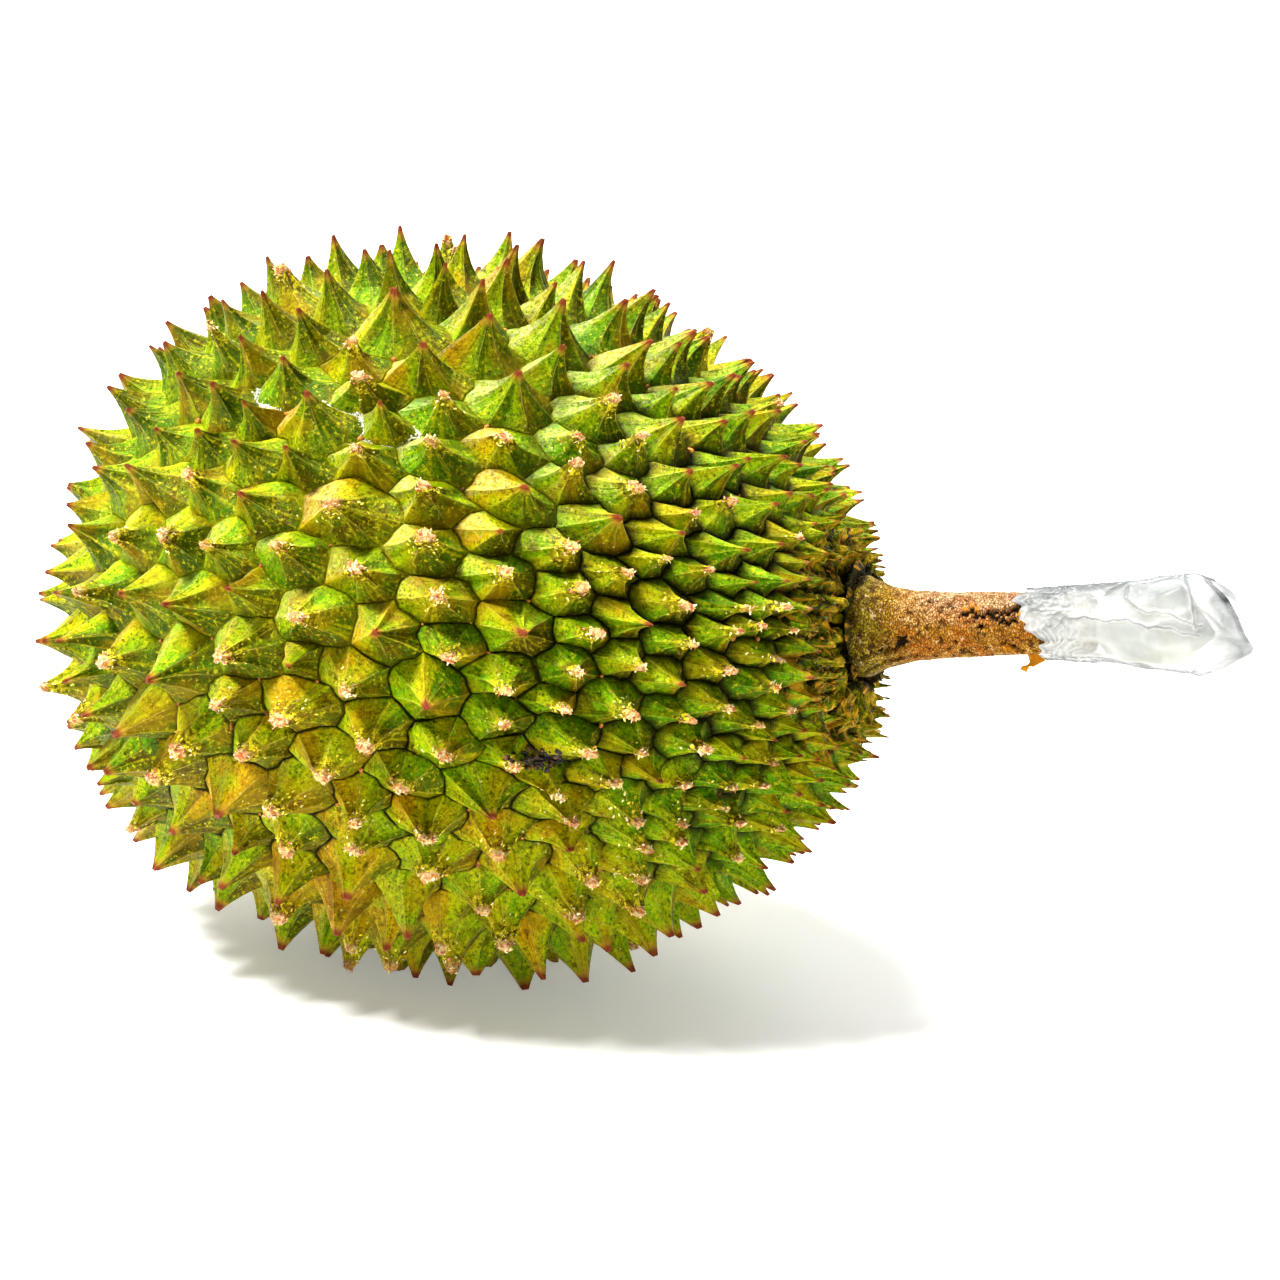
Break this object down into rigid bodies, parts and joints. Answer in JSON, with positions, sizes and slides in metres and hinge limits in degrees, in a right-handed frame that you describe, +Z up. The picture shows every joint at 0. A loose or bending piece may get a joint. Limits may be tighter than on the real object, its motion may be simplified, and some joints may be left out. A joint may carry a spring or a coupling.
{
  "type": "durian",
  "caption": "Whole spiny durian lying on its side, with its woody stem, and a white wad and clear film wrapped round the cut end.",
  "frame": {"origin": "under the middle of the whole fruit with its stem, on the surface it rests on", "axes": "+X towards the stem's wrapped end, +Z up, +Y to the back"},
  "size_m": [0.3158, 0.1948, 0.1917],
  "materials": {
    "rind": "satin, waxy",
    "bark": "matt, granular",
    "tissue": "matt",
    "clear_film": "clear, crinkled"
  },
  "bodies": {
    "root": {"husk": "rind", "stem": "bark", "wad": "tissue", "film": "clear_film"}
  },
  "joints": []
}
